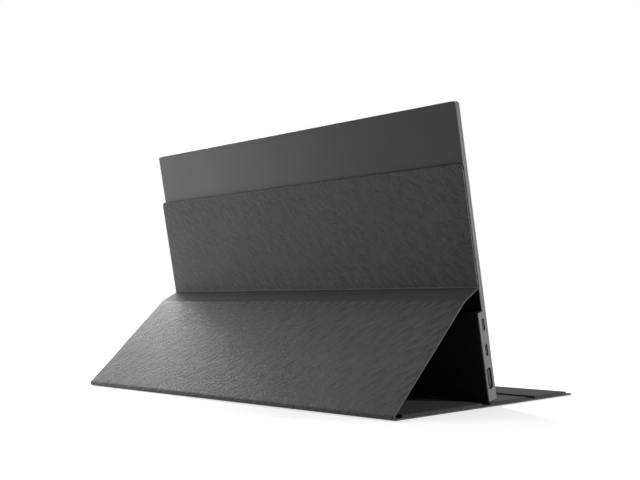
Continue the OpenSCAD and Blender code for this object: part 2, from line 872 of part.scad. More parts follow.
// Lining wrapped over the board's top and edges
module pad_lining(span) {
    color(suede) translate([0, 0, skin_t]) difference() {
        linear_extrude(pad_t) pad_outline(span, 0, pad_r);
        translate([0, 0, -1]) linear_extrude(pad_t - lining_t + 1)
            pad_outline(span, lining_t, pad_r - lining_t);
    }
}

module pad_magnets(y) {
    color(steel) translate([0, 0, skin_t]) linear_extrude(pad_magnet[2]) magnet_outline(y, 0);
}

module base_rear_skin() base_strip(rear_pad[0], roll_y - fold_tail);
module base_rear_board() pad_board(rear_pad);
module base_rear_lining() pad_lining(rear_pad);
module rear_groove_strip() groove_strip(middle_pad[1], rear_pad[0]);

module base_middle_skin() base_strip(middle_pad[0], middle_pad[1]);
module base_middle_board() pad_board(middle_pad) magnet_outline(magnet_y, fit_gap);
module base_middle_lining() pad_lining(middle_pad);
module base_middle_magnets() pad_magnets(magnet_y);
module front_groove_strip() groove_strip(front_pad[1], middle_pad[0]);

module base_front_skin() base_strip(front_pad[0] - front_margin, front_pad[1]);
module base_front_board() pad_board(front_pad) magnet_outline(closing_magnet_y, fit_gap);
module base_front_lining() pad_lining(front_pad);
module base_front_magnets() pad_magnets(closing_magnet_y);

rear_housing();
front_bezel();
bezel_tape();
lcd_glass();
prism_film();
diffuser_film();
light_guide();
reflector_film();
light_bar();
backlight_tray();
panel_driver_board();
main_board();
board_components();
usb_c_upper_shell();
usb_c_upper_insert();
usb_c_lower_shell();
usb_c_lower_insert();
hdmi_shell();
hdmi_insert();
panel_cable();
key_cable();
key_board();
key_switches();
board_screws();
foot_magnets();
power_button();
menu_rocker();
panel_glue();
back_panel_board();
back_panel_skin();
bridge_skin();
bridge_lining();
strut_skin();
strut_stiffener();
strut_lining();
rear_fold_strip();
base_rear_skin();
base_rear_board();
base_rear_lining();
rear_groove_strip();
base_middle_skin();
base_middle_board();
base_middle_lining();
base_middle_magnets();
front_groove_strip();
base_front_skin();
base_front_board();
base_front_lining();
base_front_magnets();
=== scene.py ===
"""Looks of the portable monitor in its wrap-round cover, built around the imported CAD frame."""

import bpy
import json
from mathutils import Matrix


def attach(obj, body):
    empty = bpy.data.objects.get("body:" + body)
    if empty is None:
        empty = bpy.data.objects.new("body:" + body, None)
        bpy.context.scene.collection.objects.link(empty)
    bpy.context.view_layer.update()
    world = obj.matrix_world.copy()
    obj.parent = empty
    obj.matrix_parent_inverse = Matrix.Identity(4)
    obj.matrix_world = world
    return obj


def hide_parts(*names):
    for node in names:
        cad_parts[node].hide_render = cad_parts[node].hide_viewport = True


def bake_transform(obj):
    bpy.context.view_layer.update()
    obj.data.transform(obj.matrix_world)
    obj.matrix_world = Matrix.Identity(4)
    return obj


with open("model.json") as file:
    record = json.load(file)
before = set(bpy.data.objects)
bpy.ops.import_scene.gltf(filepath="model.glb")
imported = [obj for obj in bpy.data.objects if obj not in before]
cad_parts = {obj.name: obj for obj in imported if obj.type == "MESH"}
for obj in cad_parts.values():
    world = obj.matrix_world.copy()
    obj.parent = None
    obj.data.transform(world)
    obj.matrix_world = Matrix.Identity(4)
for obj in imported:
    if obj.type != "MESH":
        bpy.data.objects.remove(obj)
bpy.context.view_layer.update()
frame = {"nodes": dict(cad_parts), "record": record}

import json
import math

import bpy
import numpy as np
from mathutils import Vector

bpy.context.scene.view_settings.view_transform = "Standard"
MM = 0.001

# ---------- camera, at the photograph's viewing angle ----------

CAMERA_AT = (-0.54523, 0.55997, 0.07541)
CAMERA_YAW = math.radians(44.096)
CAMERA_PITCH = math.radians(4.055)
CAMERA_LENS = 50
CAMERA_SENSOR = 36
CAMERA_NEAR = 0.01


def add_object(name, data):
    made = bpy.data.objects.new(name, data)
    bpy.context.scene.collection.objects.link(made)
    return made


def make_camera():
    data = bpy.data.cameras.new("camera")
    data.lens = CAMERA_LENS
    data.sensor_width = CAMERA_SENSOR
    data.clip_start = CAMERA_NEAR
    camera = add_object("camera", data)
    camera.location = CAMERA_AT
    forward = Vector((
        math.sin(CAMERA_YAW) * math.cos(CAMERA_PITCH),
        -math.cos(CAMERA_YAW) * math.cos(CAMERA_PITCH),
        math.sin(CAMERA_PITCH),
    ))
    camera.rotation_euler = forward.to_track_quat("-Z", "Y").to_euler()
    bpy.context.scene.camera = camera


make_camera()

# ---------- sizes of the real object, in mm, as in the CAD source ----------

LEAN = math.radians(11.5)
SLAB_T = 5.2
MONITOR_HALF = 178.8
BUMP_T = 9.5
BUMP_H = 66.4
EDGE_R = 1.0
COVER_HALF = 179.8
SKIN_T = 1.4  # with its lining
LINING_T = 0.4
GLUE_T = 0.2
PANEL_BOARD_T = 1.3
PAD_T = 1.9
PAD_INSET = 0.5
PAD_R = 1.0
PANEL_R = 4.0
FOLD_HEIGHT = 84.3
PANEL_H = 90.6
PANEL_N = SLAB_T + GLUE_T + PANEL_BOARD_T + SKIN_T
BRIDGE_L = 18.4
BRIDGE_SLOPE = math.radians(28.4)
STRUT_L = 107.8
FOLD_R = 2.3
REAR_MARGIN = 6.7
REAR_GROOVE = 9.2
MIDDLE_PAD = 51.1
FRONT_GROOVE = 11.6
FRONT_PAD = 49.0
FRONT_MARGIN = 8.0
FOOT_SETBACK = 0.9
FOOT_GAP = 0.1

# ---------- places in the side view, as (y, z) ----------


def direction(angle):
    return np.array([math.cos(angle), math.sin(angle)])


UP = np.array([math.sin(LEAN), math.cos(LEAN)])
BACK = np.array([math.cos(LEAN), -math.sin(LEAN)])
FORWARD = np.array([-1.0, 0.0])
BRIDGE_DIR = direction(-BRIDGE_SLOPE)

# the foot is the front lower corner of the monitor, and its rear lower edge stands on the pad
foot_z = SKIN_T + PAD_T + FOOT_GAP + BUMP_T * math.sin(LEAN)
foot_z -= EDGE_R * (math.cos(LEAN) + math.sin(LEAN) - 1)
fold_from_foot = FOLD_HEIGHT * UP + PANEL_N * BACK
kink_from_foot = fold_from_foot + BRIDGE_L * BRIDGE_DIR

# the strut slopes so that it meets the roll of the rear fold
drop = foot_z + kink_from_foot[1] - FOLD_R
STRUT_SLOPE = math.asin(drop / math.hypot(STRUT_L, FOLD_R)) - math.atan(FOLD_R / STRUT_L)
STRUT_DIR = direction(-STRUT_SLOPE)
STRUT_OUT = np.array([math.sin(STRUT_SLOPE), math.cos(STRUT_SLOPE)])
roll_from_foot = kink_from_foot + STRUT_L * STRUT_DIR - FOLD_R * STRUT_OUT

# y is 0 halfway between the back of the roll and the front edge
middle_rear = BUMP_T * math.cos(LEAN) + FOOT_SETBACK
front_edge = middle_rear - MIDDLE_PAD - FRONT_GROOVE - FRONT_PAD - FRONT_MARGIN
foot_y = -(roll_from_foot[0] + FOLD_R + front_edge) / 2
FOOT = np.array([foot_y, foot_z])
FOLD_AT = FOOT + fold_from_foot
KINK_AT = FOOT + kink_from_foot
ROLL_AT = np.array([foot_y + roll_from_foot[0], FOLD_R])
REAR = (foot_y + middle_rear + REAR_GROOVE, ROLL_AT[0] - REAR_MARGIN)
MIDDLE = (foot_y + middle_rear - MIDDLE_PAD, foot_y + middle_rear)
FRONT = (MIDDLE[0] - FRONT_GROOVE - FRONT_PAD, MIDDLE[0] - FRONT_GROOVE)
FRONT_EDGE = foot_y + front_edge

# ---------- mesh helpers ----------

SHARP_FROM = math.radians(40)


def new_object(name, verts, faces, flat=None):
    """A smooth-shaded mesh of points in mm; flat holds their places on the sheet laid flat."""
    mesh = bpy.data.meshes.new(name)
    mesh.from_pydata([tuple(v * MM for v in p) for p in verts], [], faces)
    mesh.validate()
    if flat is not None:
        attribute = mesh.attributes.new("flat", "FLOAT_VECTOR", "POINT")
        attribute.data.foreach_set("vector", np.array(flat, np.float32).ravel())
    mesh.shade_smooth()
    mesh.set_sharp_from_angle(angle=SHARP_FROM)
    return add_object(name, mesh)


def loft(name, loops, flats):
    """Joins closed loops of equal length into one closed skin."""
    n = len(loops[0])
    faces = []
    for i in range(len(loops) - 1):
        for j in range(n):
            k = (j + 1) % n
            faces.append((i * n + j, i * n + k, (i + 1) * n + k, (i + 1) * n + j))
    faces.append(tuple(reversed(range(n))))
    faces.append(tuple(range((len(loops) - 1) * n, len(loops) * n)))
    return new_object(name, [p for loop in loops for p in loop], faces,
                      [p for loop in flats for p in loop])


def rounding(distance, radius):
    """How far a rounded edge has drawn in at a distance from its end."""
    if distance >= radius:
        return 0.0
    return radius - math.sqrt(max(0.0, radius**2 - (radius - distance) ** 2))


# ---------- the cover's side view: one sheet from the panel's top to the front edge ----------

VALLEY_R = 0.7
KINK_R = 16.0
FILLET_STEPS = 8
ROLL_STEPS = 20
BEND_STEP = 3.0  # a shorter segment of the side view is part of a bend
ROLL_START = math.atan2(STRUT_OUT[1], STRUT_OUT[0])
ROLL_END = -math.pi / 2


def fillet(before, corner, after, radius):
    """Points of an arc that rounds the corner of a polyline."""
    a = (before - corner) / np.linalg.norm(before - corner)
    b = (after - corner) / np.linalg.norm(after - corner)
    half = math.acos(float(np.clip(a @ b, -1, 1))) / 2
    reach = radius / math.tan(half)
    centre = corner + (a + b) / np.linalg.norm(a + b) * radius / math.sin(half)
    start, end = corner + a * reach - centre, corner + b * reach - centre
    angle0 = math.atan2(start[1], start[0])
    turn = math.atan2(start[0] * end[1] - start[1] * end[0], float(start @ end))
    return [
        centre + radius * direction(angle0 + turn * i / FILLET_STEPS)
        for i in range(FILLET_STEPS + 1)
    ]


panel_top = FOOT + (FOLD_HEIGHT + PANEL_H) * UP + PANEL_N * BACK
roll_top = ROLL_AT + FOLD_R * STRUT_OUT
corners = np.array([
    panel_top,
    *fillet(panel_top, FOLD_AT, KINK_AT, VALLEY_R),
    *fillet(FOLD_AT, KINK_AT, roll_top, KINK_R),
    *(
        ROLL_AT + FOLD_R * direction(ROLL_START + (ROLL_END - ROLL_START) * i / ROLL_STEPS)
        for i in range(ROLL_STEPS + 1)
    ),
    np.array([FRONT_EDGE, 0.0]),
])
corner_v = np.concatenate([[0], np.cumsum(np.linalg.norm(np.diff(corners, axis=0), axis=1))])
TOTAL_V = corner_v[-1]


def v_of(point):
    """Length along the sheet, from the panel's top, of the nearest place to a point."""
    best = (math.inf, 0.0)
    for i in range(len(corners) - 1):
        a, b = corners[i], corners[i + 1]
        d = b - a
        t = float(np.clip((point - a) @ d / (d @ d), 0, 1))
        gap = np.linalg.norm(a + t * d - point)
        if gap < best[0]:
            best = (gap, corner_v[i] + t * math.sqrt(d @ d))
    return best[1]


def v_at(y):
    """Length along the sheet of a place on the base."""
    return v_of(np.array([y, 0.0]))


V_FOLD = v_of(FOLD_AT)
V_KINK = v_of(KINK_AT)
V_ROLL_START = v_of(roll_top)
V_ROLL_END = v_at(ROLL_AT[0])
V_REAR = (v_at(REAR[1]), v_at(REAR[0]))
V_MIDDLE = (v_at(MIDDLE[1]), v_at(MIDDLE[0]))
V_FRONT = v_at(FRONT[1])


def place(v):
    """Point and outward normal of the sheet's outer face at a length along it."""
    i = int(np.clip(np.searchsorted(corner_v, v, side="right") - 1, 0, len(corners) - 2))
    length = corner_v[i + 1] - corner_v[i]
    t = (v - corner_v[i]) / length
    point = corners[i] + t * (corners[i + 1] - corners[i])

    def facing(k):
        d = corners[k + 1] - corners[k]
        d = d / np.linalg.norm(d)
        return np.array([-d[1], d[0]])

    # normals turn evenly from the middle of one short segment to the next
    n = facing(i)
    if t < 0.5 and i > 0:
        if length < BEND_STEP:
            w = 0.5 + t
        else:
            w = 1.0 if t > 0 else 0.5
        n = facing(i) * w + facing(i - 1) * (1 - w)
    elif t > 0.5 and i < len(corners) - 2:
        w = 1.5 - t if length < BEND_STEP else 1.0
        n = facing(i) * w + facing(i + 1) * (1 - w)
    return point, n / np.linalg.norm(n)


BEAD_V = V_FOLD - 0.45
BEAD_H = 0.28
BEAD_W = 0.42


def relief(v):
    """The pressed bead above the back fold stands a little out of the sheet."""
    return BEAD_H * math.exp(-(((v - BEAD_V) / BEAD_W) ** 2))


OPEN_STEP = 8.0
LEAST_STEP = 0.05
LENGTH_DIGITS = 4
FINE_STEPS = [
    # from, to, step
    (V_FOLD - 3.0, V_FOLD + 1.6, 0.15),
    (V_FOLD - 8, V_FOLD + 8, 0.8),
    (V_KINK - 7, V_KINK + 7, 0.8),
    (V_ROLL_START - 0.2, V_ROLL_END + 0.2, 0.3),
    (V_ROLL_START - 6, V_ROLL_END + 8, 0.8),
    (V_REAR[1] - 1, V_MIDDLE[0] + 1, 0.6),
    (V_MIDDLE[1] - 1, V_FRONT + 1, 0.7),
    (0.0, 5.0, 0.4),
    (0.0, 0.8, 0.1),
    (TOTAL_V - 0.8, TOTAL_V, 0.1),
]


def sample_lengths(v0, v1):
    """Lengths at which the sheet gets a cross-section: close at folds and ends, open on flats."""
    lengths = {round(v0, LENGTH_DIGITS), round(v1, LENGTH_DIGITS)}
    for a, b, step in [*FINE_STEPS, (v0, v1, OPEN_STEP)]:
        a, b = max(a, v0), min(b, v1)
        if b > a:
            count = max(1, math.ceil((b - a) / step))
            lengths.update(
                round(a + (b - a) * k / count, LENGTH_DIGITS) for k in range(count + 1)
            )
    ordered = sorted(lengths)
    kept = [ordered[0]]
    for v in ordered[1:]:
        if v - kept[-1] > LEAST_STEP:
            kept.append(v)
    kept[-1] = ordered[-1]
    return kept


COLUMNS = 14
EDGE_STEPS = 5
EDGE_GAP = 0.02  # keeps the edge's points apart where it is thinner than its radius
UNDER_INSET = 0.05
DEEPEST_CUT = 0.8  # of the layer's thickness, at a rounded end


def cross_section(width, top, thick, edge_r):
    """Loop of (x, depth) round a layer: across the top, down one side, under and up the other."""
    right = []
    for i in range(EDGE_STEPS + 1):
        a = math.pi / 2 * i / EDGE_STEPS
        x, depth = width - edge_r + edge_r * math.sin(a), top + edge_r * (1 - math.cos(a))
        right.append((x, min(depth, thick - EDGE_GAP * (EDGE_STEPS - i))))
    right.append((width - UNDER_INSET, thick))
    left = [(-x, depth) for x, depth in reversed(right)]
    over, under = width - edge_r, width - UNDER_INSET
    across_top = [(-over + 2 * over * k / COLUMNS, top) for k in range(1, COLUMNS)]
    across_under = [(under - 2 * under * k / COLUMNS, thick) for k in range(1, COLUMNS)]
    return across_top + right + across_under + left


def band(name, v0, v1, depths, half, edge_r, free_start=False, free_end=False, top_corner=0.0):
    """A layer of the sheet between two lengths and two depths, with rounded side edges."""
    outer, inner = depths
    thick = inner - outer
    on_face = outer == 0
    loops, flats = [], []
    for v in sample_lengths(v0, v1):
        point, normal = place(v)
        lift = relief(v) if on_face else 0.0
        from_end = min(
            v - v0 if free_start else math.inf,
            v1 - v if free_end else math.inf,
        )
        width = half - rounding(v - v0, top_corner) if top_corner else half
        top = min(rounding(from_end, edge_r), thick * DEEPEST_CUT)
        loop, flat = [], []
        for x, depth in cross_section(width, top, thick, edge_r):
            p = point + normal * (lift * (1 - depth / thick) - outer - depth)
            loop.append((x, p[0], p[1]))
            flat.append((x * MM, v * MM, depth * MM if on_face else 0.0))
        loops.append(loop)
        flats.append(flat)
    return loft(name, loops, flats)


SLAB_STEPS = 6
SMALLEST_CORNER = 0.2
TOP_RIM = 1.5


def slab(name, y_span, z_span, half, corner_r, edge_r):
    """A flat board with rounded corners and a rounded upper edge."""
    (y0, y1), (z0, z1) = y_span, z_span

    def outline(inset):
        r = max(corner_r - inset, SMALLEST_CORNER)
        w, a, b = half - inset, y0 + inset, y1 - inset
        points = []
        for cx, cy, start in (
            (w - r, b - r, 0), (-w + r, b - r, 90), (-w + r, a + r, 180), (w - r, a + r, 270),
        ):
            for k in range(SLAB_STEPS + 1):
                t = math.radians(start + 90 * k / SLAB_STEPS)
                points.append((cx + r * math.cos(t), cy + r * math.sin(t)))
        return points

    levels = [(0.0, z0)]
    for k in range(SLAB_STEPS + 1):
        t = math.pi / 2 * k / SLAB_STEPS
        levels.append((edge_r * (1 - math.cos(t)), z1 - edge_r + edge_r * math.sin(t)))
    levels.append((edge_r + TOP_RIM, z1))
    loops = [[(x, y, z) for x, y in outline(inset)] for inset, z in levels]
    flats = [[(x * MM, y * MM, z * MM) for x, y, z in loop] for loop in loops]
    return loft(name, loops, flats)


# ---------- the cover's skin and lining, cut between the folds ----------


def hinge_span(point, before, after, reach):
    """Start and end of a bend, as points in the frame."""
    start = point - before * reach
    end = point + after * reach
    return (0, start[0] * MM, start[1] * MM), (0, end[0] * MM, end[1] * MM)


FOLD_REACH = 2.2
KINK_REACH = 4
ROLL_REACH = 3.0
GROOVE_CLEAR = 0.3  # the bend stays this far from the pads
chord = direction((ROLL_START + ROLL_END) / 2 + math.pi / 2)
rear_groove_mid = np.array([(REAR[0] + MIDDLE[1]) / 2, 0.0])
front_groove_mid = np.array([(MIDDLE[0] + FRONT[1]) / 2, 0.0])
SPANS = {
    # piece: body before the bend, body after it, start and end of the bend
    "back": ("display", "bridge", *hinge_span(FOLD_AT, -UP, BRIDGE_DIR, FOLD_REACH)),
    "kink": ("bridge", "strut", *hinge_span(KINK_AT, BRIDGE_DIR, STRUT_DIR, KINK_REACH)),
    "rear": ("strut", "base_rear", *hinge_span(ROLL_AT, -chord, -chord, ROLL_REACH)),
    "rear_groove": (
        "base_rear", "base_middle",
        *hinge_span(rear_groove_mid, FORWARD, FORWARD, REAR_GROOVE / 2 - GROOVE_CLEAR),
    ),
    "front_groove": (
        "base_middle", "base_front",
        *hinge_span(front_groove_mid, FORWARD, FORWARD, FRONT_GROOVE / 2 - GROOVE_CLEAR),
    ),
}
CUTS = [
    0.0,
    (V_FOLD + V_KINK) / 2,
    (V_KINK + V_ROLL_START) / 2,
    (V_REAR[0] + V_REAR[1]) / 2,
    (V_MIDDLE[0] + V_MIDDLE[1]) / 2,
    TOTAL_V,
]
SKIN_EDGE = 0.4
LINING_EDGE = 0.12
LINING_BACK = 0.25
LINING_OVERLAP = 1.2  # the lining starts this far above the back fold
looks = {}
for k, (key, (body_a, body_b, start, end)) in enumerate(SPANS.items()):
    first, last = k == 0, k == len(SPANS) - 1
    skin = band(
        "cover_skin_" + key, CUTS[k], CUTS[k + 1], (0.0, SKIN_T - LINING_T), COVER_HALF, SKIN_EDGE,
        free_start=first, free_end=last, top_corner=PANEL_R if first else 0.0,
    )
    lining_from = V_FOLD - LINING_OVERLAP if first else CUTS[k]
    lining_to = CUTS[k + 1] - LINING_BACK if last else CUTS[k + 1]
    lining = band(
        "cover_lining_" + key, lining_from, lining_to, (SKIN_T - LINING_T, SKIN_T),
        COVER_HALF - LINING_BACK, LINING_EDGE,
    )
    for piece in (skin, lining):
        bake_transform(piece)
    looks[skin.name] = "cover_skin"
    looks[lining.name] = "lining"

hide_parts("back_panel_skin", "bridge_skin")
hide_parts("bridge_lining")
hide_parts("strut_skin")
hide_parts("strut_lining")
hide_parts("rear_fold_strip", "base_rear_skin")
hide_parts("rear_groove_strip", "base_middle_skin")
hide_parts("front_groove_strip", "base_front_skin")

# ---------- the pads of the base, and the back of the monitor's bump ----------

PAD_EDGE = 0.45
for key, y_span in (("rear", REAR), ("middle", MIDDLE), ("front", FRONT)):
    pad = slab(
        "base_cover_" + key, y_span, (SKIN_T, SKIN_T + PAD_T), COVER_HALF - PAD_INSET,
        PAD_R, PAD_EDGE,
    )
    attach(pad, "base_" + key)
    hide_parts("base_%s_lining" % key)
    looks[pad.name] = "lining"

# the bump's back stands out a little further than its solid, and its lower edge clears the pad
BUMP_EXTRA = 1.2
BUMP_EDGE = 1.3
BUMP_CORNER = 0.5
BUMP_LOW = 0.35
OVERLAY = 0.03
bump_back = slab(
    "display_bump_back", (BUMP_LOW, BUMP_H + OVERLAY), (BUMP_T - EDGE_R, BUMP_T + BUMP_EXTRA),
    MONITOR_HALF + OVERLAY, BUMP_CORNER, BUMP_EDGE,
)
for vertex in bump_back.data.vertices:
    x, up, back = vertex.co / MM
    y, z = FOOT + up * UP + back * BACK
    vertex.co = (-x * MM, y * MM, z * MM)
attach(bump_back, "display")
looks[bump_back.name] = "bump_back"

# ---------- node helpers ----------

NOISE_MIDDLE = (0.35, 0.65)  # the range that holds most values of a noise
NOISE_WIDE = (0.3, 0.7)
FALLING = (1.0, 0.0)


class Nodes:
    """Adds nodes to a node tree."""

    def __init__(self, tree):
        self.tree = tree

    def node(self, kind, inputs, **settings):
        made = self.tree.nodes.new("ShaderNode" + kind)
        for key, value in settings.items():
            setattr(made, key, value)
        for key, value in inputs.items():
            self.feed(made.inputs[key], value)
        return made

    def feed(self, socket, value):
        """Links a socket to another socket, or sets its constant."""
        if isinstance(value, bpy.types.NodeSocket):
            self.tree.links.new(value, socket)
        else:
            socket.default_value = value

    def math(self, operation, a, b=0.0):
        return self.node("Math", {0: a, 1: b}, operation=operation).outputs[0]

    def sum_of(self, *terms):
        """The sum of values, each with its weight."""
        result, *others = [self.math("MULTIPLY", value, weight) for value, weight in terms]
        for other in others:
            result = self.math("ADD", result, other)
        return result

    def distance(self, value, middle):
        return self.math("ABSOLUTE", self.math("SUBTRACT", value, middle))

    def dot(self, vector, side_view):
        """How far a vector reaches along a direction of the side view."""
        return self.node("VectorMath", {0: vector, 1: (0, *side_view)},
                         operation="DOT_PRODUCT").outputs["Value"]

    def split(self, vector):
        return self.node("SeparateXYZ", {0: vector}).outputs

    def here(self, flat=False, scale=(1, 1, 1)):
        """Coordinates in mm: of the sheet laid flat, or of the object at rest."""
        if flat:
            source = self.node("Attribute", {}, attribute_name="flat").outputs["Vector"]
        else:
            source = self.node("TexCoord", {}).outputs["Object"]
        return self.node("Mapping", {
            "Vector": source, "Scale": tuple(s / MM for s in scale),
        }).outputs["Vector"]

    def noise(self, vector, scale, detail, rough=0.5):
        return self.node("TexNoise", {
            "Vector": vector, "Scale": scale, "Detail": detail, "Roughness": rough,
        }).outputs["Fac"]

    def spread(self, value, low, high, to_low=0.0, to_high=1.0):
        """Maps a range to another range, and stays at its ends beyond them."""
        return self.node("MapRange", {
            "Value": value, "From Min": low, "From Max": high, "To Min": to_low, "To Max": to_high,
        }).outputs["Result"]

    def window(self, value, rise, fall):
        """1 between a rising and a falling range, and 0 outside them."""
        return self.math("MULTIPLY", self.spread(value, *rise), self.spread(value, *fall, *FALLING))

    def between(self, factor, a, b):
        """A mix of two colours; 6, 7 and 2 are the Mix node's sockets for colours."""
        return self.node("Mix", {"Factor": factor, 6: a, 7: b}, data_type="RGBA").outputs[2]

    def bump(self, height, distance_mm):
        return self.node("Bump", {
            "Height": height, "Distance": distance_mm * MM, "Strength": 1.0,
        }).outputs["Normal"]

    def seen(self):
        """1 for what the camera sees: straight, in gloss or through glass."""
        ray = self.node("LightPath", {}).outputs
        seen = self.math("MAXIMUM", ray["Is Camera Ray"], ray["Is Glossy Ray"])
        return self.math("MAXIMUM", seen, ray["Is Transmission Ray"])


class Shader(Nodes):
    """A node material in the making."""

    def __init__(self, name):
        self.material = bpy.data.materials.new("look_" + name)
        self.material.use_nodes = True
        super().__init__(self.material.node_tree)
        self.surface = self.tree.nodes["Principled BSDF"]

    def finish(self, **values):
        """Feeds the surface's sockets, named with _ for a space."""
        for key, value in values.items():
            self.feed(self.surface.inputs[key.replace("_", " ")], value)
        return self.material


def grey(level, warm=0.0):
    """A neutral colour, written as the sRGB level that it shows."""
    c = level / 255
    linear = c / 12.92 if c <= 0.04045 else ((c + 0.055) / 1.055) ** 2.4
    return (linear * (1 + warm), linear, linear * (1 - warm), 1)


# ---------- the cover's skin ----------

GRAIN_TURN = math.radians(50)
ROLLER_W = 30.2  # the embossing repeats after this many mm across
ROLLER_PANEL = 31.3  # and along the panel
ROLLER_STRUT = 41.7  # and along the strut
HOLLOWS_ACROSS = 1.35  # a larger circle in the noise gives more hollows in a repeat
HOLLOWS_ALONG = 0.95
HOLLOW_RANGE = (0.38, 0.56)
PEBBLE_STRETCH = (0.75, 1.0, 1)
PEBBLE_RANGE = (0.34, 0.66)
EMBOSSED_MM = 0.90
HOLLOW_DEPTH = 0.20
PEBBLE_DEPTH = 0.9
TWILL_DEPTH = 0.06
HOLLOW_TINT = (0.42, 0.58)  # the hollows' share in the colour, on the panel and on the strut
SKIN_DARK = grey(34)
PANEL_LIGHT = grey(97)
STRUT_LIGHT = grey(101)
SKIN_ROUGH = (0.50, 0.60)
SKIN_SPECULAR = 0.30

BRIDGE_FROM = (V_FOLD - 0.6, V_FOLD + 0.2)  # the smooth strip fades in and out over these lengths
BRIDGE_TO = (V_KINK - 1.5, V_KINK + 1.5)
BRIDGE_GRAIN = 0.3
BRIDGE_TINT = 0.72
BRIDGE_ROUGHER = 0.30

# painted highlight along the bead above the back fold, broken into dots
HIGHLIGHT_DOT_SCALE = 0.116
HIGHLIGHT_DOT_RANGE = (0.55, 1.0)
BEAD_HIGHLIGHT = grey(122)
BEAD_HIGHLIGHT_FADE = (0.35, 0.75)  # mm from the middle of the bead
# painted shade in the crease below the bead
CREASE_V = V_FOLD + 0.9
CREASE_SHADE = grey(40)
CREASE_SHADE_FADE = (0.4, 0.9)  # mm from the middle of the crease
CREASE_SHADE_SHARE = 0.45

# the panel's cut edge: a pale rim above painted shade of the gap to the housing
CUT_RIM = grey(78)
CUT_GAP_SHADE = grey(18)
CUT_STRUT = grey(40)
GAP_SHADE_DEPTH = (0.4, 0.6)  # mm below the face
CUT_FADE = (COVER_HALF - 0.22, COVER_HALF - 0.12)
CUT_SHARE = 0.8


def embossing(s, across, along, past_bridge):
    """Heights of the skin's soft hollows, its pebble grain and its faint twill."""
    # the hollows repeat as the embossing roller goes round: their noise is read on two circles
    around = s.math("DIVIDE", along, s.spread(past_bridge, 0.0, 1.0, ROLLER_PANEL, ROLLER_STRUT))
    beside = s.math("ADD", s.math("DIVIDE", across, ROLLER_W), around)
    on_circles = []
    for turns, radius in ((beside, HOLLOWS_ACROSS), (around, HOLLOWS_ALONG)):
        angle = s.math("MULTIPLY", turns, math.tau)
        for wave in ("COSINE", "SINE"):
            on_circles.append(s.math("MULTIPLY", s.math(wave, angle), radius))
    *xyz, w = on_circles
    hollows = s.spread(s.node("TexNoise", {
        "Vector": s.node("CombineXYZ", dict(enumerate(xyz))).outputs[0], "W": w,
        "Scale": 1.0, "Detail": 3.0, "Roughness": 0.55,
    }, noise_dimensions="4D").outputs["Fac"], *HOLLOW_RANGE)

    mirrored = s.node("CombineXYZ", {"X": across, "Y": along}).outputs[0]
    turned = s.node("Mapping", {"Vector": mirrored, "Rotation": (0, 0, GRAIN_TURN)}).outputs[0]
    stretched = s.node("Mapping", {"Vector": turned, "Scale": PEBBLE_STRETCH}).outputs[0]
    pebble = s.noise(stretched, scale=1.0, detail=1.0, rough=0.6)
    twill = s.node("TexWave", {
        "Vector": turned, "Scale": 0.30, "Distortion": 1.2, "Detail": 1.0,
    }, wave_type="BANDS", bands_direction="X").outputs["Fac"]
    return hollows, pebble, twill


def make_cover_skin():
    """Coated cloth: fine grain, and soft hollows that run diagonally, mirrored on the strut."""
    s = Shader("cover_skin")
    sheet = s.here(flat=True)
    parts = s.split(sheet)
    along = parts["Y"]
    past_bridge = s.math("GREATER_THAN", along, (V_FOLD + V_KINK) / 2)
    side = s.math("SUBTRACT", 1.0, s.math("MULTIPLY", past_bridge, 2.0))
    across = s.math("MULTIPLY", parts["X"], side)
    hollows, pebble, twill = embossing(s, across, along, past_bridge)

    # the strip between the two upper folds is pressed smooth
    on_bridge = s.window(along, BRIDGE_FROM, BRIDGE_TO)
    grained = s.spread(on_bridge, 0.0, 1.0, 1.0, BRIDGE_GRAIN)
    height = s.sum_of((hollows, HOLLOW_DEPTH), (pebble, PEBBLE_DEPTH), (twill, TWILL_DEPTH))
    normal = s.bump(s.math("MULTIPLY", height, grained), EMBOSSED_MM)

    share = s.spread(past_bridge, 0.0, 1.0, *HOLLOW_TINT)
    mix = s.sum_of(
        (hollows, share), (s.spread(pebble, *PEBBLE_RANGE), s.math("SUBTRACT", 1.0, share)),
    )
    lightness = s.spread(grained, BRIDGE_GRAIN, 1.0, BRIDGE_TINT, mix)
    tint = s.between(lightness, SKIN_DARK, s.between(past_bridge, PANEL_LIGHT, STRUT_LIGHT))

    # the pressed line above the back fold gets a painted highlight, broken into dots, and the
    # crease below it gets painted shade
    highlight_dots = s.node("TexWave", {
        "Vector": sheet, "Scale": HIGHLIGHT_DOT_SCALE,
    }, wave_type="BANDS", bands_direction="X").outputs["Fac"]
    on_bead = s.spread(s.distance(along, BEAD_V), *BEAD_HIGHLIGHT_FADE, *FALLING)
    painted_highlight = s.math("MULTIPLY", on_bead, s.spread(highlight_dots, 0, 1, *HIGHLIGHT_DOT_RANGE))
    tint = s.between(painted_highlight, tint, BEAD_HIGHLIGHT)
    crease_shade = s.spread(s.distance(along, CREASE_V), *CREASE_SHADE_FADE, CREASE_SHADE_SHARE, 0.0)
    tint = s.between(crease_shade, tint, CREASE_SHADE)

    # the panel's cut side edges show a pale rim over painted shade of the gap to the housing, and
    # the others are plain
    gap_shade = s.spread(parts["Z"], *GAP_SHADE_DEPTH)
    cut_edge = s.between(past_bridge, s.between(gap_shade, CUT_RIM, CUT_GAP_SHADE), CUT_STRUT)
    from_middle = s.math("ABSOLUTE", parts["X"])
    on_cut = s.spread(from_middle, *CUT_FADE, 0.0, CUT_SHARE)
    tint = s.between(on_cut, tint, cut_edge)

    rough = s.spread(mix, *NOISE_WIDE, *SKIN_ROUGH)
    rough = s.math("ADD", rough, s.math("MULTIPLY", on_bridge, BRIDGE_ROUGHER))
    return s.finish(
        Base_Color=tint, Roughness=rough, Normal=normal, Specular_IOR_Level=SKIN_SPECULAR,
    )


# ---------- the other materials ----------

